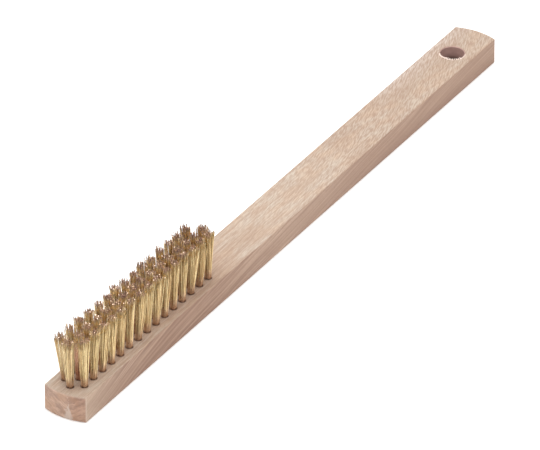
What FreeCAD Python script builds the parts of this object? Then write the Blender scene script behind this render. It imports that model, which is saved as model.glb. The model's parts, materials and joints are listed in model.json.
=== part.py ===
import FreeCAD, Part
import os
import Sketcher
from FreeCAD import Rotation, Vector

# Wire scratch brush: a straight wooden block, with three rows of folded brass wire tufts
# along one part of it and a hanging hole through the other part.
#
# The block lies along X on its flat back, with the wire standing up.
# Origin: the centre of the block's back face.  +X runs to the hanging hole, +Y across
# the block and +Z up.  Each tuft is wire folded in half over a flat steel anchor, which
# holds it at the bottom of a blind hole and bites into the wood at both ends.

# The driving dimensions, in millimetres and degrees.
SIZES = {
    # wooden block
    "block_length": 330,
    "block_width": 20,
    "block_thickness": 12,
    "end_bow": 1.9,
    "arris_radius": 0.6,
    # hanging hole
    "hang_hole_diameter": 10.5,
    "hang_hole_inset": 21.5,
    "hang_hole_easing": 0.4,
    # layout of the tufts
    "tuft_pitch": 6.67,
    "row_spacing": 4.7,
    "first_tuft_inset": 9,
    "side_row_tufts": 15,
    "middle_row_tufts": 16,
    # blind hole for one tuft
    "tuft_hole_diameter": 2.9,
    "tuft_hole_depth": 8.5,
    "drill_point_angle": 118,
    # one tuft of wire: the side rows lean outwards, and the cut falls from right to left
    "shank_diameter": 2.8,
    "wire_height": 23.5,
    "brush_diameter": 4.2,
    "side_row_lean": 1.2,
    "cut_fall": 0.7,
    # flat steel anchor
    "anchor_length": 4.2,
    "anchor_thickness": 0.5,
    "anchor_height": 1.8,
    "anchor_lift": 1.2,
    "anchor_angle": 45,
}

# Each row as expressions: where its first tuft stands, across the block and along it, how far
# across its wire tips lean and how high they reach.
SIDE_ROW_START = "-Sizes.block_length / 2 + Sizes.first_tuft_inset"
ROWS = {
    "right": {
        "across": "-Sizes.row_spacing",
        "start": SIDE_ROW_START,
        "tufts": "side_row_tufts",
        "lean": "-Sizes.side_row_lean",
        "height": "Sizes.wire_height",
    },
    "middle": {
        "across": "0",
        "start": SIDE_ROW_START + " - Sizes.tuft_pitch / 2",
        "tufts": "middle_row_tufts",
        "lean": "0",
        "height": "Sizes.wire_height - Sizes.cut_fall",
    },
    "left": {
        "across": "Sizes.row_spacing",
        "start": SIDE_ROW_START,
        "tufts": "side_row_tufts",
        "lean": "Sizes.side_row_lean",
        "height": "Sizes.wire_height - 2 * Sizes.cut_fall",
    },
}
ANCHOR_FOOT = "Sizes.block_thickness - Sizes.tuft_hole_depth + Sizes.anchor_lift"


# ---------------------------------------------------------------- spreadsheet and helpers


def build_sheet(doc):
    """The spreadsheet whose cells hold the driving dimensions."""
    sheet = doc.addObject("Spreadsheet::Sheet", "Sizes")
    for row, (name, value) in enumerate(SIZES.items(), start=1):
        sheet.set(f"A{row}", name)
        sheet.set(f"B{row}", str(value))
        sheet.setAlias(f"B{row}", name)
    doc.recompute()
    return sheet


def new_body(doc, label):
    """An empty body that will make one sub-part."""
    body = doc.addObject("PartDesign::Body", label)
    body.Label = label
    return body


def origin_item(body, role):
    """One of the body's own origin planes or axes, as a feature's reference."""
    item = next(item for item in body.Origin.OriginFeatures if item.Role == role)
    return (item, [""])


def sketch_on(body, role, name, offset=("0", "0", "0")):
    """A sketch parallel to one of the body's origin planes, moved by three expressions."""
    sketch = body.newObject("Sketcher::SketchObject", name)
    sketch.AttachmentSupport = [origin_item(body, role)]
    sketch.MapMode = "FlatFace"
    for axis, expression in zip("xyz", offset):
        sketch.setExpression(f"AttachmentOffset.Base.{axis}", expression)
    return sketch


def dimension(sketch, kind, places, expression):
    """One dimension of a sketch, tied to the spreadsheet."""
    value = float(sketch.evalExpression(expression))
    index = sketch.addConstraint(Sketcher.Constraint(kind, *places, value))
    sketch.setExpression(f"Constraints[{index}]", expression)


def join_loop(sketch, count):
    """Joins geometry 0 to count - 1 end to start, into one closed loop."""
    for index in range(count):
        following = (index + 1) % count
        sketch.addConstraint(Sketcher.Constraint("Coincident", index, 2, following, 1))


def add_circle(sketch, diameter):
    """A circle about the sketch's origin."""
    radius = float(sketch.evalExpression(diameter)) / 2
    sketch.addGeometry(Part.Circle(Vector(0, 0, 0), Vector(0, 0, 1), radius))
    sketch.addConstraint(Sketcher.Constraint("Coincident", 0, 3, -1, 1))
    dimension(sketch, "Diameter", (0,), diameter)


def add_rectangle(sketch, length, width):
    """A rectangle centred on the sketch's origin, length along its x axis."""
    half_length = float(sketch.evalExpression(length)) / 2
    half_width = float(sketch.evalExpression(width)) / 2
    corners = [
        Vector(-half_length, -half_width, 0),
        Vector(half_length, -half_width, 0),
        Vector(half_length, half_width, 0),
        Vector(-half_length, half_width, 0),
    ]
    for start, end in zip(corners, corners[1:] + corners[:1]):
        sketch.addGeometry(Part.LineSegment(start, end))
    join_loop(sketch, 4)
    for side, direction in enumerate(("Horizontal", "Vertical", "Horizontal", "Vertical")):
        sketch.addConstraint(Sketcher.Constraint(direction, side))
    sketch.addConstraint(Sketcher.Constraint("Symmetric", 0, 1, 1, 2, -1, 1))
    dimension(sketch, "DistanceX", (0, 1, 0, 2), length)
    dimension(sketch, "DistanceY", (1, 1, 1, 2), width)


def edges_where(feature, test):
    """Names of the feature's edges that pass the test, for a fillet or a chamfer."""
    edges = enumerate(feature.Shape.Edges, start=1)
    return [f"Edge{number}" for number, edge in edges if test(edge)]


def pattern_row(body, row, originals):
    """Repeats features of the row's first tuft along the whole row."""
    pattern = body.newObject("PartDesign::LinearPattern", f"along_{row}_row")
    pattern.Originals = originals
    pattern.Direction = origin_item(body, "X_Axis")
    pattern.Mode = "Spacing"
    pattern.setExpression("Offset", "Sizes.tuft_pitch")
    pattern.setExpression("Occurrences", f"Sizes.{ROWS[row]['tufts']}")
    body.Tip = pattern


# ---------------------------------------------------------------- wooden block


def sketch_block_outline(body):
    """The block seen from above: two straight sides and two shallow bowed ends."""
    sketch = sketch_on(body, "XY_Plane", "block_outline")
    bow_radius = "(Sizes.block_width ^ 2 / 4 + Sizes.end_bow ^ 2) / (2 * Sizes.end_bow)"
    bow_centre = f"Sizes.block_length / 2 - {bow_radius}"
    half_width = float(sketch.evalExpression("Sizes.block_width / 2"))
    side_end = float(sketch.evalExpression("Sizes.block_length / 2 - Sizes.end_bow"))
    tip = float(sketch.evalExpression("Sizes.block_length / 2"))
    far_right = Vector(side_end, -half_width, 0)
    far_left = Vector(side_end, half_width, 0)
    near_left = Vector(-side_end, half_width, 0)
    near_right = Vector(-side_end, -half_width, 0)
    sketch.addGeometry(Part.LineSegment(near_right, far_right))
    sketch.addGeometry(Part.Arc(far_right, Vector(tip, 0, 0), far_left))
    sketch.addGeometry(Part.LineSegment(far_left, near_left))
    sketch.addGeometry(Part.Arc(near_left, Vector(-tip, 0, 0), near_right))
    join_loop(sketch, 4)
    for side in (0, 2):
        sketch.addConstraint(Sketcher.Constraint("Horizontal", side))
    for end in (1, 3):
        sketch.addConstraint(Sketcher.Constraint("PointOnObject", end, 3, -1))
        dimension(sketch, "Radius", (end,), bow_radius)
    dimension(sketch, "DistanceX", (-1, 1, 1, 3), bow_centre)
    dimension(sketch, "DistanceX", (3, 3, -1, 1), bow_centre)
    dimension(sketch, "DistanceY", (0, 1, -1, 1), "Sizes.block_width / 2")
    dimension(sketch, "DistanceY", (-1, 1, 2, 1), "Sizes.block_width / 2")
    return sketch


def cut_hang_hole(doc, body):
    """The through hole for hanging, with both rims eased."""
    place = ("Sizes.block_length / 2 - Sizes.hang_hole_inset", "0", "Sizes.block_thickness")
    sketch = sketch_on(body, "XY_Plane", "hang_hole_circle", place)
    add_circle(sketch, "Sizes.hang_hole_diameter")
    hole = body.newObject("PartDesign::Hole", "hang_hole")
    hole.Profile = sketch
    doc.recompute()
    hole.DepthType = "ThroughAll"
    hole.setExpression("Diameter", "Sizes.hang_hole_diameter")
    doc.recompute()
    easing = body.newObject("PartDesign::Chamfer", "hang_hole_rims")
    easing.Base = (hole, edges_where(hole, lambda edge: edge.isClosed()))
    easing.setExpression("Size", "Sizes.hang_hole_easing")
    doc.recompute()


def cut_tuft_hole(doc, body, row):
    """The blind drilled hole for the first tuft of a row."""
    place = (ROWS[row]["start"], ROWS[row]["across"], "Sizes.block_thickness")
    sketch = sketch_on(body, "XY_Plane", f"{row}_hole_circle", place)
    add_circle(sketch, "Sizes.tuft_hole_diameter")
    hole = body.newObject("PartDesign::Hole", f"{row}_tuft_hole")
    hole.Profile = sketch
    doc.recompute()
    hole.DepthType = "Dimension"
    hole.DrillPoint = "Angled"
    hole.setExpression("Diameter", "Sizes.tuft_hole_diameter")
    hole.setExpression("Depth", "Sizes.tuft_hole_depth")
    hole.setExpression("DrillPointAngle", "Sizes.drill_point_angle")
    return hole


def cut_anchor_bite(doc, body, row):
    """The two nicks that the first anchor of a row presses into the hole's wall."""
    place = (ROWS[row]["start"], ROWS[row]["across"], ANCHOR_FOOT)
    sketch = sketch_on(body, "XY_Plane", f"{row}_bite_outline", place)
    sketch.AttachmentOffset.Rotation = Rotation(Vector(0, 0, 1), 0)
    sketch.setExpression("AttachmentOffset.Rotation.Angle", "Sizes.anchor_angle")
    add_rectangle(sketch, "Sizes.anchor_length", "Sizes.anchor_thickness")
    bite = body.newObject("PartDesign::Pocket", f"{row}_anchor_bite")
    bite.Profile = sketch
    bite.Reversed = True
    bite.setExpression("Length", "Sizes.anchor_height")
    return bite


def build_block(doc):
    """The wooden block: outline, eased arrises, hanging hole and tuft holes."""
    body = new_body(doc, "handle_block")
    blank = body.newObject("PartDesign::Pad", "blank")
    blank.Profile = sketch_block_outline(body)
    blank.setExpression("Length", "Sizes.block_thickness")
    doc.recompute()
    arrises = body.newObject("PartDesign::Fillet", "eased_arrises")
    arrises.Base = (blank, edges_where(blank, lambda edge: True))
    arrises.setExpression("Radius", "Sizes.arris_radius")
    doc.recompute()
    cut_hang_hole(doc, body)
    for row in ROWS:
        hole = cut_tuft_hole(doc, body, row)
        bite = cut_anchor_bite(doc, body, row)
        pattern_row(body, row, [hole, bite])
        doc.recompute()
    return body


# ---------------------------------------------------------------- tufts


def sketch_shank_profile(body):
    """Half of a shank's outline, from the fold up to the hole's mouth."""
    sketch = sketch_on(body, "XZ_Plane", "shank_profile")
    radius = float(sketch.evalExpression("Sizes.shank_diameter / 2"))
    depth = float(sketch.evalExpression("Sizes.tuft_hole_depth"))
    fold_foot = Vector(0, -depth, 0)
    fold_centre = Vector(0, radius - depth, 0)
    fold_side = fold_centre + Vector(radius, 0, 0)
    fold_middle = fold_centre + radius * Vector(1, -1, 0).normalize()
    mouth_side = Vector(radius, 0, 0)
    mouth_middle = Vector(0, 0, 0)
    sketch.addGeometry(Part.Arc(fold_foot, fold_middle, fold_side))
    sketch.addGeometry(Part.LineSegment(fold_side, mouth_side))
    sketch.addGeometry(Part.LineSegment(mouth_side, mouth_middle))
    sketch.addGeometry(Part.LineSegment(mouth_middle, fold_foot))
    join_loop(sketch, 4)
    sketch.addConstraint(Sketcher.Constraint("PointOnObject", 0, 3, -2))
    sketch.addConstraint(Sketcher.Constraint("PointOnObject", 0, 1, -2))
    sketch.addConstraint(Sketcher.Constraint("Horizontal", 0, 3, 0, 2))
    sketch.addConstraint(Sketcher.Constraint("Vertical", 1))
    sketch.addConstraint(Sketcher.Constraint("Coincident", 2, 2, -1, 1))
    sketch.addConstraint(Sketcher.Constraint("Horizontal", 2))
    dimension(sketch, "DistanceX", (-1, 1, 1, 2), "Sizes.shank_diameter / 2")
    dimension(sketch, "DistanceY", (0, 1, -1, 1), "Sizes.tuft_hole_depth")
    return sketch


def build_tuft(doc, row, number):
    """One tuft of wire as a closed solid: a shank folded over its anchor and a flared brush."""
    body = new_body(doc, f"tuft_{row}_{number:02d}")
    shank = body.newObject("PartDesign::Revolution", "shank")
    shank.Profile = sketch_shank_profile(body)
    shank.ReferenceAxis = (shank.Profile[0], ["V_Axis"])
    shank.Angle = 360
    mouth = sketch_on(body, "XY_Plane", "mouth_circle")
    add_circle(mouth, "Sizes.shank_diameter")
    lean = ROWS[row]["lean"]
    tip_place = (f"{lean} * sin(Sizes.anchor_angle)", f"{lean} * cos(Sizes.anchor_angle)")
    tips = sketch_on(body, "XY_Plane", "tips_circle", tip_place + (ROWS[row]["height"],))
    add_circle(tips, "Sizes.brush_diameter")
    brush = body.newObject("PartDesign::AdditiveLoft", "brush")
    brush.Profile = mouth
    brush.Sections = [tips]
    window_centre = "Sizes.anchor_lift + Sizes.anchor_height / 2 - Sizes.tuft_hole_depth"
    outline = sketch_on(body, "YZ_Plane", "anchor_window_outline", ("0", window_centre, "0"))
    add_rectangle(outline, "Sizes.anchor_thickness", "Sizes.anchor_height")
    window = body.newObject("PartDesign::Pocket", "anchor_window")
    window.Profile = outline
    window.SideType = "Symmetric"
    window.setExpression("Length", "2 * Sizes.shank_diameter")
    body.setExpression("Placement.Base.x", f"{ROWS[row]['start']} + {number - 1} * Sizes.tuft_pitch")
    body.setExpression("Placement.Base.y", ROWS[row]["across"])
    body.setExpression("Placement.Base.z", "Sizes.block_thickness")
    body.Placement.Rotation = Rotation(Vector(0, 0, 1), 0)
    body.setExpression("Placement.Rotation.Angle", "Sizes.anchor_angle")
    return body


# ---------------------------------------------------------------- anchors


def build_anchors(doc, row):
    """One row's flat steel anchors, each a separate solid across its tuft's hole."""
    body = new_body(doc, f"anchors_{row}")
    sketch = sketch_on(body, "XY_Plane", "anchor_outline")
    sketch.AttachmentOffset.Rotation = Rotation(Vector(0, 0, 1), 0)
    sketch.setExpression("AttachmentOffset.Rotation.Angle", "Sizes.anchor_angle")
    add_rectangle(sketch, "Sizes.anchor_length", "Sizes.anchor_thickness")
    strip = body.newObject("PartDesign::Pad", "anchor_strip")
    strip.Profile = sketch
    strip.setExpression("Length", "Sizes.anchor_height")
    pattern_row(body, row, [strip])
    body.setExpression("Placement.Base.x", ROWS[row]["start"])
    body.setExpression("Placement.Base.y", ROWS[row]["across"])
    body.setExpression("Placement.Base.z", ANCHOR_FOOT)
    return body


# ---------------------------------------------------------------- whole brush


def check_objects(doc, bodies):
    """Stops if any object failed to recompute or any sub-part isn't a sound solid."""
    for item in doc.Objects:
        if "Invalid" in item.State or "Error" in item.State:
            raise RuntimeError(f"{item.Label} failed: {item.State}")
    for body in bodies:
        if body.Shape.isNull() or not body.Shape.isValid() or not body.Shape.Solids:
            raise RuntimeError(f"{body.Label} has no valid shape")


def build_brush():
    """The document with every sub-part of the brush."""
    doc = FreeCAD.newDocument("wire_brush")
    sheet = build_sheet(doc)
    bodies = [build_block(doc)]
    for row, layout in ROWS.items():
        for number in range(1, int(getattr(sheet, layout["tufts"])) + 1):
            bodies.append(build_tuft(doc, row, number))
        bodies.append(build_anchors(doc, row))
    doc.recompute()
    check_objects(doc, bodies)
    return bodies


os.makedirs("parts", exist_ok=True)
for sub_part in build_brush():
    sub_part.Shape.exportStep(f"parts/{sub_part.Label}.step")
    solids = len(sub_part.Shape.Solids)
    print(f"{sub_part.Label}: {solids} solid(s), {sub_part.Shape.Volume:.2f} mm3")
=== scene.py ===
import json
import math
import random

import bpy
import numpy as np
from mathutils import Matrix, Vector


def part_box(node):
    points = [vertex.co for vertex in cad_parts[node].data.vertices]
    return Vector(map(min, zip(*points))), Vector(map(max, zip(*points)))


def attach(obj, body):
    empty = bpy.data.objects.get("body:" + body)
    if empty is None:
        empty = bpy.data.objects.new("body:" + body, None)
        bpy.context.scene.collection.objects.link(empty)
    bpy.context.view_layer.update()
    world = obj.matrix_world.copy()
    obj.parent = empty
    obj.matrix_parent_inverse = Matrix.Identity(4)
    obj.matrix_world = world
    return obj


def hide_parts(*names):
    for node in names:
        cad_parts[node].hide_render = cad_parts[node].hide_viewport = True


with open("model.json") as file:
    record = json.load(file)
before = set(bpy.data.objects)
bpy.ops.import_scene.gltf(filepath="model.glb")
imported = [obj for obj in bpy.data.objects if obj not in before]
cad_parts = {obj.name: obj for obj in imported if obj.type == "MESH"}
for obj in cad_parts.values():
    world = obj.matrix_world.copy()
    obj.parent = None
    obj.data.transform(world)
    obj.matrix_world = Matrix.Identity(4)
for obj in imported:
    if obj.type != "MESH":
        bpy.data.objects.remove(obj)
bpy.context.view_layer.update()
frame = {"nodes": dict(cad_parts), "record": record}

# A wire scratch brush: a beech block with three rows of folded brass wire tufts and a hanging hole.
# Everything is in metres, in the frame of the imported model: +X to the hanging hole, +Z up.
# The materials work in millimetres, in the same frame.

MM = 0.001

# ---------------------------------------------------------------- places, from the frame

BLOCK_LOW, BLOCK_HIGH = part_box("handle_block")
BLOCK_TOP = BLOCK_HIGH.z
HANG_HOLE = next(mount for mount in frame["record"]["mounts"] if mount["name"] == "hang_hole")
HANG_HOLE_CENTRE = Vector(HANG_HOLE["pos_m"])
HANG_HOLE_RADIUS = HANG_HOLE["dims"]["r_mm"] * MM
TUFT_NODES = sorted(name for name in frame["nodes"] if name.startswith("tuft_"))
ANCHOR_NODES = sorted(name for name in frame["nodes"] if name.startswith("anchors_"))
ANCHOR_BOXES = {name.split("_")[1]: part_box(name) for name in ANCHOR_NODES}
ANCHOR_FOOT = ANCHOR_BOXES["middle"][0].z - BLOCK_TOP
FIELD_LOW = ANCHOR_BOXES["right"][0].x
FIELD_HIGH = ANCHOR_BOXES["right"][1].x
TUFT_BOXES = {name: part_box(name) for name in TUFT_NODES}
HEAD_LOW, HEAD_HIGH = TUFT_BOXES["tuft_middle_01"]
HEAD_RADIUS = (HEAD_HIGH.x - HEAD_LOW.x) / 2

# ---------------------------------------------------------------- wire sizes

WIRE_RADIUS = 0.15 * MM
WIRE_SPACING = 0.305 * MM
BUNDLE_RADIUS = 1.45 * MM
ANCHOR_HALF_THICKNESS = 0.25 * MM
ANCHOR_ANGLE = math.radians(45)
WIRE_SIDES = 8
FOLD_STEPS = 4
RISE_STEPS = 4

# How far the wires of a tuft open out at the top, lean, sway and bow.
TOP_RADIUS = {"right": 0.92 * HEAD_RADIUS, "middle": 0.96 * HEAD_RADIUS, "left": HEAD_RADIUS}
END_TOP_RADIUS = 1.1 * HEAD_RADIUS
END_SHARPNESS = 8
TOP_SPREAD = 0.08
TIP_SWAY = 0.28 * MM
STRAY_SHARE = 0.1
STRAY_SWAY = 0.8 * MM
WIRE_BOW = 0.12 * MM
TUFT_LEAN = 0.3 * MM
END_LEAN = 0.7 * MM

# How far below the tuft's full height the wires are cut, and how steeply.
MEAN_DROP = 0.95 * MM
TIP_SCATTER = 0.6 * MM
LONG_WIRE_SHARE = 0.12
LEAST_DROP = 0.2 * MM
CUT_SLOPE = 0.9

# How dull the wires are, with painted shade: wires inside a tuft brown further below their tips than
# outer ones, and the tufts grow duller along the brush, away from the brightly lit near end.
INNER_OPENNESS = 0.2
MEAN_DULLNESS = 1.1
SHADE_DULLNESS_RISE = 0.6

WIRE_SEED = 1000

# ---------------------------------------------------------------- torn fibres of the hanging hole

# Directions round the hole, seen from above: a torn lip from start to end, then separate
# splinters, and the middle of the whole tear.
LIP_START = math.radians(130)
LIP_END = math.radians(186)
SPLINTER_END = math.radians(252)
TEAR_ANGLE = math.radians(212)

# Each pair is the least and the most.  Roots and tips are measured outwards from the hole's
# rim, steps in splinters, and shifts in widths of the fibre.
LIP_FIBRES = 40
LIP_ROOT = (0.4 * MM, 0.7 * MM)
LIP_TIP = (0.0, 0.15 * MM)
LIP_WIDTH = (0.5 * MM, 0.8 * MM)
LIP_CURL = 0.6 * MM
CURL_SHARPNESS = 6
SPLINTERS = 11
SPLINTER_ROOT = (0.9 * MM, 1.5 * MM)
SPLINTER_TIP = (-1.0 * MM, 0.3 * MM)
SPLINTER_WIDTH = (0.3 * MM, 0.75 * MM)
SPLINTER_STEP = (0.1, 0.9)
TIP_LIFT = (0.1 * MM, 0.25 * MM)
TIP_SHIFT = (-0.3, 0.3)
FIBRE_THICKNESS = 0.1 * MM
FIBRE_SEED = 77

# ---------------------------------------------------------------- wood, in millimetres

# Where the look of the wood changes along the block: x where each change starts and ends.
FRONT_PALES = (-135.0, -160.0)
SIDE_CALMS = (-70.0, 120.0)
FLECKS_GROW = (-40.0, 60.0)
STREAKS_FADE = (-30.0, 90.0)
BROWN_FADES = (10.0, -20.0)
BROWN_RETURNS = (25.0, 60.0)
LOW_SIDE_DARKENS = (35.0, 65.0)
LEFT_EDGE_PALES = (85.0, 110.0)

END_BULGE = 1.9
BROWN_WAVE_LENGTH = 180.0
GRAIN_SLOPE = 0.12
FRONT_CLIMB_START = -90.0
FRONT_CLIMB = 0.0018
GRAIN_WANDER = 5.0
FLECK_SLOPE = 0.16
FLECK_TURN = 0.0008
RING_SLOPE = 0.45
SPLIT_Y = -2.4
SPLIT_WANDER = 4.0

# ---------------------------------------------------------------- light and camera

# Metres and watts, with the lens and its sensor in millimetres.
OVERHEAD_HEIGHT = 1.2
OVERHEAD_SIZE = 1.4
OVERHEAD_POWER = 22
SURROUND_STRENGTH = 0.35
FLOOR_SIZE = 8
FLOOR_GAP = 0.05 * MM

CAMERA_AZIMUTH = math.radians(-58.3)
CAMERA_ELEVATION = math.radians(32.77)
CAMERA_DISTANCE = 2.932
CAMERA_AIM = Vector((-1.1, 3.4, 1.35)) * MM
CAMERA_LENS = 466.7
CAMERA_SENSOR = 36

# ---------------------------------------------------------------- node helpers


def linear(red, green, blue):
    """A colour given as 0 to 255 screen values, as the shader's linear values."""
    parts = [value / 255 for value in (red, green, blue)]
    return tuple(p / 12.92 if p <= 0.04045 else ((p + 0.055) / 1.055) ** 2.4 for p in parts) + (1.0,)


def add_node(tree, kind, inputs=(), **settings):
    """A shader node with its settings, and its inputs either linked or set."""
    made = tree.nodes.new(kind)
    for name, value in settings.items():
        setattr(made, name, value)
    for name, value in dict(inputs).items():
        if isinstance(value, bpy.types.NodeSocket):
            tree.links.new(value, made.inputs[name])
        else:
            made.inputs[name].default_value = value
    return made


def math_node(tree, operation, first, second=0.0, third=0.0):
    """The result of one sum on numbers or sockets."""
    inputs = {0: first, 1: second, 2: third}
    return add_node(tree, "ShaderNodeMath", inputs, operation=operation).outputs[0]


def product(tree, *factors):
    """Numbers or sockets multiplied together."""
    result = factors[0]
    for factor in factors[1:]:
        result = math_node(tree, "MULTIPLY", result, factor)
    return result


def mix_colours(tree, share, first, second, blend="MIX"):
    """The colour that lies between two others by a share."""
    inputs = {0: share, 6: first, 7: second}
    made = add_node(tree, "ShaderNodeMix", inputs, data_type="RGBA", blend_type=blend)
    return made.outputs[2]


def spread(tree, value, low, high, out_low=0.0, out_high=1.0):
    """A value stretched from one range to another, and held inside it."""
    inputs = {"Value": value, "From Min": low, "From Max": high, "To Min": out_low, "To Max": out_high}
    return add_node(tree, "ShaderNodeMapRange", inputs).outputs["Result"]


def combine(tree, x, y, z):
    """A vector made of three numbers or sockets."""
    return add_node(tree, "ShaderNodeCombineXYZ", {"X": x, "Y": y, "Z": z}).outputs[0]


def length_of(tree, vector):
    """How long a vector is."""
    return add_node(tree, "ShaderNodeVectorMath", {0: vector}, operation="LENGTH").outputs["Value"]


def noise(tree, vector, scale=1.0, detail=2.0, roughness=0.5):
    """Grey noise from 0 to 1, with features about one unit across at scale 1."""
    inputs = {"Vector": vector, "Scale": scale, "Detail": detail, "Roughness": roughness}
    return add_node(tree, "ShaderNodeTexNoise", inputs).outputs[0]


def sized_noise(tree, place, sizes, detail=2.0, roughness=0.5):
    """Grey noise from 0 to 1, whose features have the given sizes along x, y and z."""
    counts = [math_node(tree, "DIVIDE", value, size) for value, size in zip(place, sizes)]
    return noise(tree, combine(tree, *counts), detail=detail, roughness=roughness)


def attribute(tree, name):
    """A number that the mesh gives for each point."""
    return add_node(tree, "ShaderNodeAttribute", attribute_name=name).outputs["Fac"]


def millimetres(tree):
    """The piece's own x, y and z in millimetres, as three sockets."""
    place = add_node(tree, "ShaderNodeTexCoord").outputs["Object"]
    scaled = add_node(tree, "ShaderNodeVectorMath", {0: place, "Scale": 1 / MM}, operation="SCALE")
    return add_node(tree, "ShaderNodeSeparateXYZ", {0: scaled.outputs[0]}).outputs


def facing(tree):
    """How squarely the surface faces along x, y and z, from 0 to 1, as three sockets."""
    normal = add_node(tree, "ShaderNodeTexCoord").outputs["Normal"]
    sizes = add_node(tree, "ShaderNodeVectorMath", {0: normal}, operation="ABSOLUTE")
    return add_node(tree, "ShaderNodeSeparateXYZ", {0: sizes.outputs[0]}).outputs


def new_material(name):
    """A node material with one Principled shader, its tree and that shader."""
    material = bpy.data.materials.new(name)
    material.use_nodes = True
    tree = material.node_tree
    return material, tree, tree.nodes["Principled BSDF"]


# ---------------------------------------------------------------- beech

WOOD = {
    "flat": linear(203, 189, 173),
    "warm flat": linear(203, 181, 160),
    "flat cloud": linear(182, 160, 141),
    "pale edge": linear(216, 204, 194),
    "streak": linear(172, 145, 127),
    "fleck": linear(168, 141, 123),
    "side": linear(196, 168, 147),
    "side band": linear(162, 132, 114),
    "calm side": linear(180, 150, 131),
    "pale front": linear(208, 184, 162),
    "side cloud": linear(172, 142, 123),
    "low side": linear(166, 136, 119),
    "end": linear(210, 176, 154),
    "end ring": linear(172, 141, 124),
    "end patch": linear(196, 156, 128),
    "split": linear(218, 201, 188),
    "fibre": linear(150, 120, 102),
    "edge_highlight": linear(222, 202, 184),
    "shaded hole rim": linear(92, 62, 46),
    "torn rim": linear(234, 214, 202),
    "dark rim patch": linear(96, 72, 58),
    "hole wall": linear(204, 168, 158),
    "shaded wall": linear(140, 110, 102),
    "wall patch": linear(160, 126, 118),
    "deep wall shade": linear(76, 56, 46),
    "torn fibre": linear(222, 196, 180),
    "pale torn fibre": linear(244, 227, 215),
    "pinker by": linear(237, 229, 225),
}


class Grain:
    """Where a point of the block lies, which way it faces and the noises its colours share."""

    def __init__(self, tree):
        self.tree = tree
        self.x, self.y, self.z = millimetres(tree)
        self.place = (self.x, self.y, self.z)
        face_x, face_y, _ = facing(tree)
        self.on_side = spread(tree, face_y, 0.5, 0.9)
        self.on_end = spread(tree, face_x, 0.5, 0.9)
        self.band_z = self.height_in_grain()
        self.fleck_y = self.place_across_flecks()
        self.cloud = sized_noise(tree, self.place, (30.0, 12.0, 9.0), detail=1.0)
        self.patches = sized_noise(tree, self.place, (13.0, 5.0, 5.0))
        self.flecks = sized_noise(tree, (self.x, self.fleck_y, self.z), (3.8, 0.6, 1.2), detail=1.0)
        self.fibres = sized_noise(tree, (self.x, self.fleck_y, self.band_z), (5.0, 0.2, 0.2))

    def height_in_grain(self):
        """Height across the grain, which climbs along the sides, faster near the front end."""
        tree = self.tree
        wander = sized_noise(tree, self.place, (60.0, 30.0, 30.0), detail=1.0)
        into_front = math_node(tree, "SUBTRACT", FRONT_CLIMB_START, self.x)
        into_front = math_node(tree, "MAXIMUM", into_front, 0.0)
        climb = product(tree, math_node(tree, "POWER", into_front, 2.0), FRONT_CLIMB)
        height = math_node(tree, "MULTIPLY_ADD", self.x, -GRAIN_SLOPE, self.z)
        height = math_node(tree, "ADD", height, climb)
        return math_node(tree, "MULTIPLY_ADD", wander, GRAIN_WANDER, height)

    def place_across_flecks(self):
        """Place across the medullary rays' flecks, which swing round towards the far end."""
        swing = math_node(self.tree, "MULTIPLY_ADD", self.x, FLECK_TURN, FLECK_SLOPE)
        return math_node(self.tree, "SUBTRACT", self.y, product(self.tree, self.x, swing))


def flat_colour(grain):
    """The top and back: soft patches, long streaks and short ray flecks."""
    tree = grain.tree
    flat = mix_colours(tree, spread(tree, grain.patches, 0.38, 0.62), WOOD["flat"], WOOD["warm flat"])
    flat = mix_colours(tree, spread(tree, grain.cloud, 0.4, 0.65, 0.0, 0.5), flat, WOOD["flat cloud"])
    at_left_edge = spread(tree, grain.y, 1.0, 9.0, 0.0, 0.75)
    pale_share = product(tree, at_left_edge, spread(tree, grain.x, *LEFT_EDGE_PALES))
    flat = mix_colours(tree, pale_share, flat, WOOD["pale edge"])
    streaks = sized_noise(tree, grain.place, (16.0, 0.7, 0.7))
    streak_limit = spread(tree, grain.x, *STREAKS_FADE, 0.65, 0.35)
    streak_share = product(tree, spread(tree, streaks, 0.42, 0.62), streak_limit)
    flat = mix_colours(tree, streak_share, flat, WOOD["streak"])
    fleck_limit = spread(tree, grain.x, *FLECKS_GROW, 0.35, 0.7)
    fleck_share = product(tree, spread(tree, grain.flecks, 0.42, 0.6), fleck_limit)
    return mix_colours(tree, fleck_share, flat, WOOD["fleck"])


def side_colour(grain):
    """The long sides: slanting bands, calmer towards the handle and darker low down on it."""
    tree = grain.tree
    band_place = (grain.x, grain.y, grain.band_z)
    bands = sized_noise(tree, band_place, (70.0, 9.0, 1.15), detail=3.0, roughness=0.6)
    side = mix_colours(tree, spread(tree, bands, 0.38, 0.6), WOOD["side"], WOOD["side band"])
    side = mix_colours(tree, spread(tree, grain.x, *SIDE_CALMS, 0.0, 0.5), side, WOOD["calm side"])
    side = mix_colours(tree, spread(tree, grain.x, *FRONT_PALES, 0.0, 0.5), side, WOOD["pale front"])
    side = mix_colours(tree, spread(tree, grain.cloud, 0.42, 0.6, 0.0, 0.4), side, WOOD["side cloud"])
    low_down = spread(tree, grain.z, 7.0, 2.0, 0.0, 0.6)
    low_share = product(tree, low_down, spread(tree, grain.x, *LOW_SIDE_DARKENS))
    return mix_colours(tree, low_share, side, WOOD["low side"])


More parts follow.
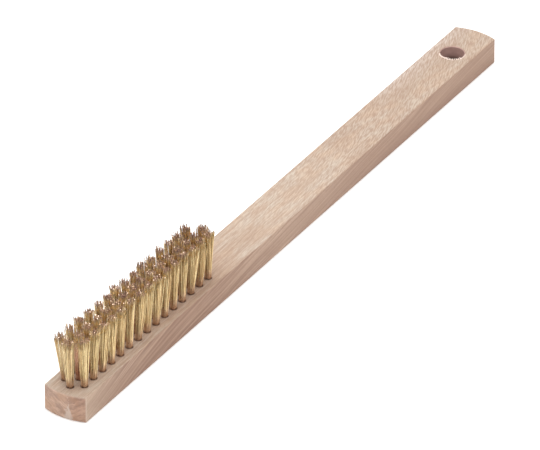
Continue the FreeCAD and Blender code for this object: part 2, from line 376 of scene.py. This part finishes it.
def end_colour(grain):
    """End grain: two leaning sets of rings that meet in a paler split below the middle."""
    tree = grain.tree
    torn = math_node(tree, "SUBTRACT", sized_noise(tree, grain.place, (3.0, 1.5, 2.5)), 0.5)
    split_y = math_node(tree, "SUBTRACT", grain.y, SPLIT_Y)
    split_y = math_node(tree, "MULTIPLY_ADD", torn, SPLIT_WANDER, split_y)
    from_split = math_node(tree, "ABSOLUTE", split_y)
    ring_z = math_node(tree, "MULTIPLY_ADD", from_split, -RING_SLOPE, grain.z)
    ring_place = (grain.x, grain.y, ring_z)
    rings = sized_noise(tree, ring_place, (30.0, 4.0, 1.3), detail=3.0, roughness=0.6)
    end = mix_colours(tree, spread(tree, rings, 0.38, 0.62), WOOD["end"], WOOD["end ring"])
    end = mix_colours(tree, spread(tree, grain.patches, 0.42, 0.6, 0.0, 0.5), end, WOOD["end patch"])
    at_right = spread(tree, grain.y, -1.0, -6.0)
    end = mix_colours(tree, at_right, end, WOOD["pinker by"], blend="MULTIPLY")
    split_width = spread(tree, grain.z, 8.0, 1.0, 0.05, 2.4)
    out_of_split = math_node(tree, "DIVIDE", from_split, split_width)
    into_split = math_node(tree, "SUBTRACT", 1.0, out_of_split)
    return mix_colours(tree, spread(tree, into_split, 0.0, 0.6, 0.0, 0.7), end, WOOD["split"])


def brown_share(grain):
    """How much browner the wood is: along most of the tufts, and again on the handle."""
    tree = grain.tree
    turn_rate = 2 * math.pi / BROWN_WAVE_LENGTH
    turn = math_node(tree, "MULTIPLY_ADD", grain.x, turn_rate, math.pi)
    turn = math_node(tree, "COSINE", turn)
    near_tufts = product(tree, spread(tree, turn, -0.9, 0.9), spread(tree, grain.x, *BROWN_FADES))
    on_handle = spread(tree, grain.x, *BROWN_RETURNS, 0.0, 0.35)
    off_end = math_node(tree, "SUBTRACT", 1.0, grain.on_end)
    return product(tree, math_node(tree, "ADD", near_tufts, on_handle), off_end)


def edge_highlight_share(grain):
    """How much painted highlight lies along the near end's corners, where their eased edges catch the
    light.
    """
    tree = grain.tree
    corner_x = BLOCK_LOW.x / MM + END_BULGE
    corner_y = BLOCK_LOW.y / MM
    corner_z = BLOCK_TOP / MM
    on_side = product(tree, grain.on_side, spread(tree, grain.x, corner_x + 0.9, corner_x + 0.3))
    near_top = spread(tree, grain.z, corner_z - 0.9, corner_z - 0.2)
    near_right = spread(tree, grain.y, corner_y + 0.6, corner_y + 0.1)
    on_end = product(tree, grain.on_end, math_node(tree, "MAXIMUM", near_top, near_right))
    return product(tree, math_node(tree, "MAXIMUM", on_side, on_end), 0.35)


def row_centres(row):
    """The x of a row's first hole, the pitch, the last hole's number and the row's y, in mm."""
    middles = sorted(sum(c.x for c in TUFT_BOXES[n]) / 2 for n in TUFT_NODES if row in n)
    pitch = (middles[-1] - middles[0]) / (len(middles) - 1)
    row_y = sum(corner.y for corner in ANCHOR_BOXES[row]) / 2
    return middles[0] / MM, pitch / MM, len(middles) - 1, row_y / MM


def distance_to_row(grain, row):
    """How far a place on the wood is from the nearest tuft hole of a row, in millimetres."""
    tree = grain.tree
    first, pitch, last_number, row_y = row_centres(row)
    number = math_node(tree, "DIVIDE", math_node(tree, "SUBTRACT", grain.x, first), pitch)
    number = math_node(tree, "MINIMUM", math_node(tree, "ROUND", number), last_number)
    number = math_node(tree, "MAXIMUM", number, 0.0)
    hole_x = math_node(tree, "MULTIPLY_ADD", number, pitch, first)
    off_x = math_node(tree, "SUBTRACT", grain.x, hole_x)
    off_y = math_node(tree, "SUBTRACT", grain.y, row_y)
    return length_of(tree, combine(tree, off_x, off_y, 0.0))


def hole_rim_shade_share(grain):
    """How much painted shade darkens the wood round the rims of the tuft holes, where the gaps between
    tufts and holes lie in shadow.
    """
    nearest = distance_to_row(grain, "right")
    for row in ("middle", "left"):
        nearest = math_node(grain.tree, "MINIMUM", nearest, distance_to_row(grain, row))
    return spread(grain.tree, nearest, 1.85, 1.55, 0.0, 0.85)


def hole_wall_colour(grain):
    """The hanging hole's wall: pinker than the faces, with painted shade darkening it further down."""
    tree = grain.tree
    wall = mix_colours(tree, spread(tree, grain.z, 9.0, 5.5), WOOD["hole wall"], WOOD["shaded wall"])
    wall = mix_colours(tree, spread(tree, grain.patches, 0.4, 0.6, 0.0, 0.4), wall, WOOD["wall patch"])
    # Painted shade: the wall turns nearly black deep down in the hole.
    return mix_colours(tree, spread(tree, grain.z, 7.4, 5.8, 0.0, 0.9), wall, WOOD["deep wall shade"])


def add_hang_hole(grain, tone):
    """The wood's colour with the hanging hole's wall, and its rim pale where torn, with darker patches
    just outside it.
    """
    tree = grain.tree
    centre = HANG_HOLE_CENTRE / MM
    radius = HANG_HOLE_RADIUS / MM
    off_x = math_node(tree, "SUBTRACT", grain.x, centre.x)
    off_y = math_node(tree, "SUBTRACT", grain.y, centre.y)
    from_axis = length_of(tree, combine(tree, off_x, off_y, 0.0))
    to_tear = product(tree, off_y, math.sin(TEAR_ANGLE))
    to_tear = math_node(tree, "MULTIPLY_ADD", off_x, math.cos(TEAR_ANGLE), to_tear)
    on_torn_side = spread(tree, to_tear, 0.5, 2.5, 0.0, 0.65)
    torn_share = product(tree, spread(tree, from_axis, radius + 1.15, radius + 0.65), on_torn_side)
    tone = mix_colours(tree, torn_share, tone, WOOD["torn rim"])
    in_hole = spread(tree, from_axis, radius + 0.3, radius + 0.1)
    tone = mix_colours(tree, in_hole, tone, hole_wall_colour(grain))
    # Darker patches just beyond the torn side of the rim.
    rim_patch_noise = noise(tree, combine(tree, grain.x, grain.y, 0.0), scale=1.1)
    dark_rim_share = product(
        tree,
        spread(tree, to_tear, 4.0, 4.6),
        spread(tree, from_axis, radius + 1.25, radius + 0.85),
        spread(tree, rim_patch_noise, 0.44, 0.5),
        spread(tree, grain.z, BLOCK_TOP / MM - 1.4, BLOCK_TOP / MM - 0.6),
    )
    return mix_colours(tree, dark_rim_share, tone, WOOD["dark rim patch"])


def make_beech():
    """Unlacquered beech, with painted highlights along the near corners, painted shade round the rims
    of the drilled tuft holes, and the torn hanging hole with painted shade down its wall.
    """
    material, tree, shader = new_material("beech")
    grain = Grain(tree)
    tone = mix_colours(tree, grain.on_side, flat_colour(grain), side_colour(grain))
    tone = mix_colours(tree, grain.on_end, tone, end_colour(grain))
    tone = mix_colours(tree, spread(tree, grain.fibres, 0.5, 0.8, 0.0, 0.35), tone, WOOD["fibre"])
    tone = mix_colours(tree, brown_share(grain), tone, WOOD["pinker by"], blend="MULTIPLY")
    # Painted highlight: pale lines along the near end's eased corners.
    tone = mix_colours(tree, edge_highlight_share(grain), tone, WOOD["edge_highlight"])
    # Painted shade: a dark ring round each tuft hole's rim.
    tone = mix_colours(tree, hole_rim_shade_share(grain), tone, WOOD["shaded hole rim"])
    tree.links.new(add_hang_hole(grain, tone), shader.inputs["Base Color"])
    height = math_node(tree, "MULTIPLY_ADD", grain.flecks, 0.5, grain.fibres)
    bump_inputs = {"Height": height, "Strength": 0.3, "Distance": 0.05 * MM}
    bump = add_node(tree, "ShaderNodeBump", bump_inputs)
    tree.links.new(bump.outputs[0], shader.inputs["Normal"])
    tree.links.new(spread(tree, grain.fibres, 0.3, 0.7, 0.55, 0.75), shader.inputs["Roughness"])
    shader.inputs["Specular IOR Level"].default_value = 0.3
    return material


def make_torn_wood():
    """Pale, fuzzy torn beech fibres."""
    material, tree, shader = new_material("torn_beech")
    fuzz = noise(tree, combine(tree, *millimetres(tree)), scale=3.0)
    colour = mix_colours(tree, fuzz, WOOD["torn fibre"], WOOD["pale torn fibre"])
    tree.links.new(colour, shader.inputs["Base Color"])
    shader.inputs["Roughness"].default_value = 0.8
    return material


# ---------------------------------------------------------------- metals

BRASS = {
    "dull": linear(206, 176, 128),
    "bright": linear(238, 219, 170),
    "streak": linear(184, 148, 106),
    "foot": linear(255, 226, 204),
    "inner rows": linear(212, 186, 168),
    "middle row": linear(236, 180, 156),
    "dull tarnish": linear(108, 80, 68),
    "bright tarnish": linear(180, 144, 116),
    "cut": linear(98, 74, 64),
    "scored cut": linear(134, 104, 90),
    "glinting cut": linear(244, 218, 198),
}


def pinker_shade_share(tree, x, y, z):
    """How much painted shade and reflection of the wood make the middle row pinker: low down, where it
    stands behind the right row, and not on its front tuft.
    """
    foot = BLOCK_TOP / MM
    front = FIELD_LOW / MM
    in_middle_row = spread(tree, math_node(tree, "ABSOLUTE", y), 3.0, 1.0)
    low_down = spread(tree, z, foot + 19.5, foot + 13.0, 0.0, 0.65)
    return product(tree, in_middle_row, low_down, spread(tree, x, front, front + 2.0))


def tarnish_and_shade_share(tree, y, tone):
    """How much a wire browns with oxide and painted shade: towards its tip and further down inside a
    tuft, least on bright wires and on the lit right-hand flank.
    """
    near_tip = spread(tree, attribute(tree, "tip_depth"), 1.3, 0.2)
    by_tone = spread(tree, tone, 1.0, 0.7, 0.4)
    off_lit_flank = spread(tree, y, -7.4, -5.6, 0.35, 1.0)
    return product(tree, near_tip, by_tone, off_lit_flank)


def make_brass():
    """Drawn brass wire: each wire its own tone, duller along the brush with painted shade; a painted
    reflection of the wood makes it pale and pink at the foot, painted shade and reflection make the
    middle row pinker low down, and oxide with painted shade makes it brown at the tip.
    """
    material, tree, shader = new_material("brass_wire")
    x, y, z = millimetres(tree)
    foot = BLOCK_TOP / MM
    tone = attribute(tree, "wire_tone_and_shade")
    streaks = sized_noise(tree, (x, y, z), (0.5, 0.5, 3.0))
    colour = mix_colours(tree, tone, BRASS["dull"], BRASS["bright"])
    colour = mix_colours(tree, spread(tree, streaks, 0.45, 0.7, 0.0, 0.5), colour, BRASS["streak"])
    # Painted reflection of the wood: the wires pale and pink towards the foot.
    colour = mix_colours(tree, spread(tree, z, foot + 5.5, foot, 0.0, 0.9), colour, BRASS["foot"])
    colour = mix_colours(tree, spread(tree, y, -3.2, -1.6, 0.0, 0.15), colour, BRASS["inner rows"])
    # Painted shade and reflection of the wood: the middle row pinker low down.
    colour = mix_colours(tree, pinker_shade_share(tree, x, y, z), colour, BRASS["middle row"])
    # Oxide and painted shade: browner towards the tips, inside the tufts, and away from the lit flank.
    tarnish_and_shade = tarnish_and_shade_share(tree, y, tone)
    brown = mix_colours(tree, tone, BRASS["dull tarnish"], BRASS["bright tarnish"])
    tree.links.new(mix_colours(tree, tarnish_and_shade, colour, brown), shader.inputs["Base Color"])
    roughness = spread(tree, streaks, 0.3, 0.7, 0.24, 0.38)
    roughness = math_node(tree, "MULTIPLY_ADD", tarnish_and_shade, 0.15, roughness)
    tree.links.new(roughness, shader.inputs["Roughness"])
    tree.links.new(spread(tree, tarnish_and_shade, 0.0, 1.0, 1.0, 0.4), shader.inputs["Metallic"])
    return material


def make_cut_brass():
    """The sheared end of a wire: finely scored, most dark, and a few painted bright as glints."""
    material, tree, shader = new_material("cut_brass")
    scores = noise(tree, combine(tree, *millimetres(tree)), scale=12.0)
    colour = mix_colours(tree, scores, BRASS["cut"], BRASS["scored cut"])
    # Painted highlight: a few cut ends made bright as glints.
    bright = spread(tree, attribute(tree, "cut_shine"), 0.85, 0.97)
    colour = mix_colours(tree, bright, colour, BRASS["glinting cut"])
    tree.links.new(colour, shader.inputs["Base Color"])
    tree.links.new(spread(tree, scores, 0.3, 0.7, 0.15, 0.3), shader.inputs["Roughness"])
    shader.inputs["Metallic"].default_value = 1.0
    return material


def make_anchor_steel():
    """Flat steel anchor strip, with rolling marks along it."""
    material, tree, shader = new_material("anchor_steel")
    x, y, z = millimetres(tree)
    marks = noise(tree, combine(tree, x, y, product(tree, z, 12.0)), scale=1.5)
    colour = mix_colours(tree, marks, linear(150, 150, 150), linear(190, 190, 188))
    tree.links.new(colour, shader.inputs["Base Color"])
    tree.links.new(spread(tree, marks, 0.3, 0.7, 0.3, 0.5), shader.inputs["Roughness"])
    shader.inputs["Metallic"].default_value = 1.0
    return material


# ---------------------------------------------------------------- wire tufts


def wire_layout():
    """Where the folded wires of a tuft lie: distance along the anchor and distance off it."""
    places = []
    reach = BUNDLE_RADIUS - WIRE_RADIUS
    off = ANCHOR_HALF_THICKNESS + WIRE_RADIUS
    layer = 0
    while off < reach:
        half = math.sqrt(reach**2 - off**2)
        shift = WIRE_SPACING / 2 * (layer % 2)
        count = math.floor((half - shift) / WIRE_SPACING)
        numbers = range(-count - layer % 2, count + 1)
        places += [(number * WIRE_SPACING + shift, off) for number in numbers]
        off += WIRE_SPACING * math.sqrt(3) / 2
        layer += 1
    return places


def place_in_round(along, off, radius):
    """Where a wire stands when the two halves of its tuft have closed into one round bundle."""
    reach = BUNDLE_RADIUS - WIRE_RADIUS
    gap = ANCHOR_HALF_THICKNESS
    closed = (abs(off) - gap) * reach / (reach - gap)
    size = radius / reach
    return along * size, math.copysign(closed * size, off)


def wire_rise(along, off, rng, tuft):
    """One end of a wire, from the hole's mouth to its tip, in the tuft's own frame.

    That frame has x along the anchor, y off it and z up from the block's top.
    """
    reach = tuft.height - MEAN_DROP + rng.uniform(-TIP_SCATTER, TIP_SCATTER)
    if rng.random() < LONG_WIRE_SHARE:
        reach = rng.uniform(tuft.height - MEAN_DROP + TIP_SCATTER, tuft.height - LEAST_DROP)
    sway = STRAY_SWAY if rng.random() < STRAY_SHARE else TIP_SWAY
    mouth_x, mouth_y = place_in_round(along, off, BUNDLE_RADIUS - WIRE_RADIUS)
    top_x, top_y = place_in_round(along, off, tuft.top_radius)
    top_x += rng.gauss(0, sway) + tuft.lean[0]
    top_y += rng.gauss(0, sway) + tuft.lean[1]
    bow = (rng.gauss(0, WIRE_BOW), rng.gauss(0, WIRE_BOW))
    points = []
    for step in range(RISE_STEPS + 1):
        share = step / RISE_STEPS
        arch = 4 * share * (1 - share)
        x = mouth_x + (top_x - mouth_x) * share + bow[0] * arch
        y = mouth_y + (top_y - mouth_y) * share + bow[1] * arch
        points.append((x, y, reach * share))
    return points


def wire_path(along, off, rng, tuft):
    """One folded wire, from its first tip down round the anchor and up to its second tip."""
    down = wire_rise(along, -off, rng, tuft)[::-1]
    up = wire_rise(along, off, rng, tuft)
    fold = []
    for step in range(FOLD_STEPS + 1):
        angle = math.pi * step / FOLD_STEPS
        fold.append((along, -off * math.cos(angle), ANCHOR_FOOT - off * math.sin(angle)))
    return down + fold + up


def tube(points, cut_slopes):
    """Vertices and faces of a round wire through the points, cut at a slant at each end."""
    points = np.array(points)
    tangents = np.gradient(points, axis=0)
    tangents /= np.linalg.norm(tangents, axis=1)[:, None]
    across = np.array((1.0, 0.0, 0.0))
    angles = np.arange(WIRE_SIDES) * 2 * math.pi / WIRE_SIDES
    rings = []
    for index, (point, tangent) in enumerate(zip(points, tangents)):
        across = across - tangent * (across @ tangent)
        across /= np.linalg.norm(across)
        other = np.cross(tangent, across)
        ring = np.outer(np.cos(angles), across) + np.outer(np.sin(angles), other)
        if index in (0, len(points) - 1):
            slope = cut_slopes[min(index, 1)]
            ring += np.outer(np.cos(angles) * slope, tangent)
        rings.append(point + WIRE_RADIUS * ring)
    faces = []
    for ring in range(len(points) - 1):
        for side in range(WIRE_SIDES):
            here = ring * WIRE_SIDES + side
            beside = ring * WIRE_SIDES + (side + 1) % WIRE_SIDES
            faces.append((here, beside, beside + WIRE_SIDES, here + WIRE_SIDES))
    last = (len(points) - 1) * WIRE_SIDES
    faces.append(tuple(reversed(range(WIRE_SIDES))))
    faces.append(tuple(last + side for side in range(WIRE_SIDES)))
    return np.concatenate(rings), faces


class Tuft:
    """The shape of one tuft, read from its CAD node and varied a little."""

    def __init__(self, node, rng):
        low, high = TUFT_BOXES[node]
        row = node.split("_")[1]
        self.height = high.z - BLOCK_TOP
        self.foot_x = (low.x + high.x) / 2
        self.foot_y = (ANCHOR_BOXES[row][0].y + ANCHOR_BOXES[row][1].y) / 2
        reach_left = high.y - self.foot_y - HEAD_RADIUS
        reach_right = self.foot_y - low.y - HEAD_RADIUS
        row_lean = max(reach_left, 0) - max(reach_right, 0)
        place = (self.foot_x - FIELD_LOW) / (FIELD_HIGH - FIELD_LOW) * 2 - 1
        endness = place**END_SHARPNESS
        top_radius = TOP_RADIUS[row] + (END_TOP_RADIUS - TOP_RADIUS[row]) * endness
        self.top_radius = top_radius * rng.gauss(1, TOP_SPREAD)
        lean_x = -END_LEAN * endness + rng.gauss(0, TUFT_LEAN)
        lean_y = row_lean + rng.gauss(0, TUFT_LEAN)
        # Painted shade: tufts further along the brush get duller wires, where their neighbours shade
        # them.
        self.dullness_and_shade = MEAN_DULLNESS + SHADE_DULLNESS_RISE * place
        self.lean = Matrix.Rotation(-ANCHOR_ANGLE, 3, "Z") @ Vector((lean_x, lean_y, 0))


def make_tuft(node, number, materials):
    """One tuft of separate folded wires, standing where its CAD node stands."""
    rng = random.Random(WIRE_SEED + number)
    tuft = Tuft(node, rng)
    vertices, faces, tones_and_shade, shines, depths = [], [], [], [], []
    for along, off in wire_layout():
        points = wire_path(along, off, rng, tuft)
        slopes = (rng.uniform(-CUT_SLOPE, CUT_SLOPE), rng.uniform(-CUT_SLOPE, CUT_SLOPE))
        ring_points, wire_faces = tube(points, slopes)
        start = len(tones_and_shade)
        faces += [tuple(start + corner for corner in face) for face in wire_faces]
        vertices.append(ring_points)
        half = len(ring_points) // 2
        tips = [points[0][2]] * half + [points[-1][2]] * (len(ring_points) - half)
        outwards = (math.hypot(along, off) / BUNDLE_RADIUS) ** 2
        openness = INNER_OPENNESS + (1 - INNER_OPENNESS) * outwards
        # Painted shade: wires further inside a tuft count as nearer their tips, so their oxide and
        # shade reach further down.
        depths += [(tip - point[2]) * openness / MM for tip, point in zip(tips, ring_points)]
        shine = rng.random()
        shines += [shine] * len(ring_points)
        tones_and_shade += [shine**tuft.dullness_and_shade] * len(ring_points)
    mesh = bpy.data.meshes.new(node + "_wires")
    mesh.from_pydata(np.concatenate(vertices), [], faces)
    place = Matrix.Translation((tuft.foot_x, tuft.foot_y, BLOCK_TOP))
    mesh.transform(place @ Matrix.Rotation(ANCHOR_ANGLE, 4, "Z"))
    for material in materials:
        mesh.materials.append(material)
    is_cut = [len(face) == WIRE_SIDES for face in faces]
    mesh.polygons.foreach_set("use_smooth", [not cut for cut in is_cut])
    mesh.polygons.foreach_set("material_index", [int(cut) for cut in is_cut])
    for name, values in (("wire_tone_and_shade", tones_and_shade), ("cut_shine", shines), ("tip_depth", depths)):
        mesh.attributes.new(name, "FLOAT", "POINT").data.foreach_set("value", values)
    wires = bpy.data.objects.new(node + "_wires", mesh)
    bpy.context.collection.objects.link(wires)
    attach(wires, "root")
    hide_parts(node)


# ---------------------------------------------------------------- torn fibres


def add_fibre(vertices, faces, rng, angle, root_radius, tip_radius, width):
    """One flat torn fibre on the top face, pointing from one radius to another about the hole."""
    outward = Vector((math.cos(angle), math.sin(angle), 0))
    sideways = Vector((-math.sin(angle), math.cos(angle), 0))
    tip = HANG_HOLE_CENTRE + outward * tip_radius + sideways * rng.uniform(*TIP_SHIFT) * width
    tip.z = BLOCK_TOP + rng.uniform(*TIP_LIFT)
    root = HANG_HOLE_CENTRE + outward * root_radius
    root.z = BLOCK_TOP + FIBRE_THICKNESS / 2
    low = root.copy()
    low.z = BLOCK_TOP - FIBRE_THICKNESS
    start = len(vertices)
    vertices += [root - sideways * width / 2, root + sideways * width / 2, tip, low]
    for corners in ((0, 1, 2), (0, 3, 1), (1, 3, 2), (2, 3, 0)):
        faces.append(tuple(start + corner for corner in corners))


def make_rim_fibres(material):
    """Torn fibres round the near side of the hanging hole's upper rim: a pale lip and splinters."""
    rng = random.Random(FIBRE_SEED)
    rim = HANG_HOLE_RADIUS
    vertices, faces = [], []
    for number in range(LIP_FIBRES):
        share = number / LIP_FIBRES
        angle = LIP_START + (LIP_END - LIP_START) * share
        root_radius = rim + rng.uniform(*LIP_ROOT)
        tip_radius = rim + rng.uniform(*LIP_TIP) - LIP_CURL * share**CURL_SHARPNESS
        add_fibre(vertices, faces, rng, angle, root_radius, tip_radius, rng.uniform(*LIP_WIDTH))
    for number in range(SPLINTERS):
        share = (number + rng.uniform(*SPLINTER_STEP)) / SPLINTERS
        angle = LIP_END + (SPLINTER_END - LIP_END) * share
        root_radius = rim + rng.uniform(*SPLINTER_ROOT)
        tip_radius = rim + rng.uniform(*SPLINTER_TIP)
        add_fibre(vertices, faces, rng, angle, root_radius, tip_radius, rng.uniform(*SPLINTER_WIDTH))
    mesh = bpy.data.meshes.new("rim_fibres")
    mesh.from_pydata(vertices, [], faces)
    mesh.materials.append(material)
    fibres = bpy.data.objects.new("rim_fibres", mesh)
    bpy.context.collection.objects.link(fibres)
    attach(fibres, "root")


# ---------------------------------------------------------------- stage


def make_floor_paper():
    """Plain white paper on a softly lit table, so the floor stays white under the brush."""
    material, tree, shader = new_material("white_paper")
    grain = noise(tree, combine(tree, *millimetres(tree)), scale=0.8)
    colour = mix_colours(tree, grain, linear(246, 246, 246), linear(250, 250, 250))
    tree.links.new(colour, shader.inputs["Base Color"])
    tree.links.new(colour, shader.inputs["Emission Color"])
    shader.inputs["Emission Strength"].default_value = 0.22
    shader.inputs["Roughness"].default_value = 0.9
    shader.inputs["Specular IOR Level"].default_value = 0.1
    return material


def make_floor(material):
    """A wide plain floor, just under the block."""
    bpy.ops.mesh.primitive_plane_add(size=FLOOR_SIZE, location=(0, 0, BLOCK_LOW.z - FLOOR_GAP))
    floor = bpy.context.object
    floor.name = "floor"
    floor.data.materials.append(material)


def make_light():
    """Soft studio light: a large square panel overhead and an even white surround."""
    lamp = bpy.data.lights.new("overhead", "AREA")
    lamp.shape = "SQUARE"
    lamp.size = OVERHEAD_SIZE
    lamp.energy = OVERHEAD_POWER
    light = bpy.data.objects.new("overhead", lamp)
    light.location = (0, 0, OVERHEAD_HEIGHT)
    bpy.context.collection.objects.link(light)
    world = bpy.data.worlds.new("surround")
    world.use_nodes = True
    background = world.node_tree.nodes["Background"]
    background.inputs["Color"].default_value = (1, 1, 1, 1)
    background.inputs["Strength"].default_value = SURROUND_STRENGTH
    bpy.context.scene.world = world


def make_camera():
    """A long lens well back from the near end, to the right and above."""
    level = math.cos(CAMERA_ELEVATION)
    back_x = math.sin(CAMERA_AZIMUTH) * level
    back_y = -math.cos(CAMERA_AZIMUTH) * level
    back = Vector((back_x, back_y, math.sin(CAMERA_ELEVATION)))
    lens = bpy.data.cameras.new("camera")
    lens.sensor_width = CAMERA_SENSOR
    lens.lens = CAMERA_LENS
    lens.clip_start = 0.1
    lens.clip_end = 20
    camera = bpy.data.objects.new("camera", lens)
    camera.location = CAMERA_AIM + back * CAMERA_DISTANCE
    camera.rotation_euler = (-back).to_track_quat("-Z", "Y").to_euler()
    bpy.context.collection.objects.link(camera)
    bpy.context.scene.camera = camera


# ---------------------------------------------------------------- the whole brush


def give_material(node, material):
    """Puts one material in every slot of a CAD node."""
    for slot in frame["nodes"][node].material_slots:
        slot.material = material


bpy.context.scene.view_settings.view_transform = "Standard"
give_material("handle_block", make_beech())
anchor_steel = make_anchor_steel()
for anchors in ANCHOR_NODES:
    give_material(anchors, anchor_steel)
wire_materials = (make_brass(), make_cut_brass())
for tuft_number, tuft_node in enumerate(TUFT_NODES):
    make_tuft(tuft_node, tuft_number, wire_materials)
make_rim_fibres(make_torn_wood())
make_floor(make_floor_paper())
make_light()
make_camera()
